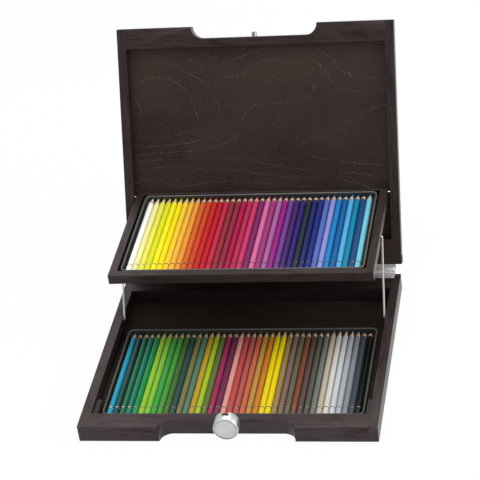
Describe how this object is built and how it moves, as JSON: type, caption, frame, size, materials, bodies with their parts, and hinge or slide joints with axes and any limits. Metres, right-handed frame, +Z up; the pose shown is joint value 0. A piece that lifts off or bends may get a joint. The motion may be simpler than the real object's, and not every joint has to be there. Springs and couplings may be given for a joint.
{
  "type": "two-level pencil case",
  "caption": "Flat hinged wooden pencil case with a level tray that the lid lifts on wire rods, pans of colour pencils and a turning catch knob.",
  "frame": {"origin": "middle of the underside of the box, on the face it stands on", "axes": "+X to the right seen from the front, +Y to the back, +Z up"},
  "size_m": [0.3712, 0.4824, 0.3202],
  "materials": {
    "stained_wood": "satin dark stain",
    "panel_veneer": "satin dark stain on veneer",
    "black_floor": "matt black stain",
    "black_block": "matt black stain",
    "pan_enamel": "satin black enamel",
    "pencil_lacquer": "gloss lacquer in many colours",
    "satin_aluminium": "satin anodised",
    "turned_aluminium": "satin turned face, polished bevel",
    "bright_steel": "bright drawn",
    "chrome": "polished",
    "brass": "machined"
  },
  "bodies": {
    "box": {"box_front_rail": "stained_wood", "box_rear_rail": "stained_wood", "box_left_side": "stained_wood", "box_right_side": "stained_wood", "box_floor": "black_floor", "rest_block_left": "black_block", "rest_block_right": "black_block", "box_pan": "pan_enamel", "box_pencils": "pencil_lacquer", "hinge_box_leaf": "satin_aluminium", "hinge_box_screws": "bright_steel", "knob_bush": "brass"},
    "knob": {"knob_cup": "turned_aluminium", "knob_spindle": "bright_steel", "knob_washer": "bright_steel"},
    "lid": {"lid_front_rail": "stained_wood", "lid_left_stile": "stained_wood", "lid_right_stile": "stained_wood", "lid_rear_rail": "stained_wood", "lid_hinge_strip": "stained_wood", "lid_panel": "panel_veneer", "catch_stud": "chrome", "hinge_lid_leaf": "satin_aluminium", "hinge_lid_screws": "bright_steel", "tray_pivot_pins": "bright_steel"},
    "tray": {"tray_front_rail": "stained_wood", "tray_rear_rail": "stained_wood", "tray_left_side": "stained_wood", "tray_right_side": "stained_wood", "tray_floor": "black_floor", "tray_pan": "pan_enamel", "tray_pencils": "pencil_lacquer"},
    "left_rod": {"left_rod": "bright_steel"},
    "right_rod": {"right_rod": "bright_steel"}
  },
  "joints": [
    {"name": "lid_hinge", "type": "hinge", "parent": "box", "child": "lid", "pos_m": [0, 0.1689, 0.0219], "axis": [1, 0, 0], "range_deg": [0, 115]},
    {"name": "tray_level", "type": "hinge", "parent": "lid", "child": "tray", "pos_m": [0, 0.2171, 0.11462], "axis": [1, 0, 0], "range_deg": [-115, 0]},
    {"name": "left_rod_swing", "type": "hinge", "parent": "box", "child": "left_rod", "pos_m": [-0.1714, 0.0679, 0.0184], "axis": [1, 0, 0], "range_deg": [0, 115]},
    {"name": "right_rod_swing", "type": "hinge", "parent": "box", "child": "right_rod", "pos_m": [0.1714, 0.0679, 0.0184], "axis": [1, 0, 0], "range_deg": [0, 115]},
    {"name": "knob_turn", "type": "hinge", "parent": "box", "child": "knob", "pos_m": [0, -0.145, 0.0182], "axis": [0, 1, 0], "range_deg": [0, 90]}
  ],
  "couplings": [
    {"joint": "tray_level", "follows": "lid_hinge", "ratio": -1},
    {"joint": "left_rod_swing", "follows": "lid_hinge", "ratio": 1},
    {"joint": "right_rod_swing", "follows": "lid_hinge", "ratio": 1}
  ]
}
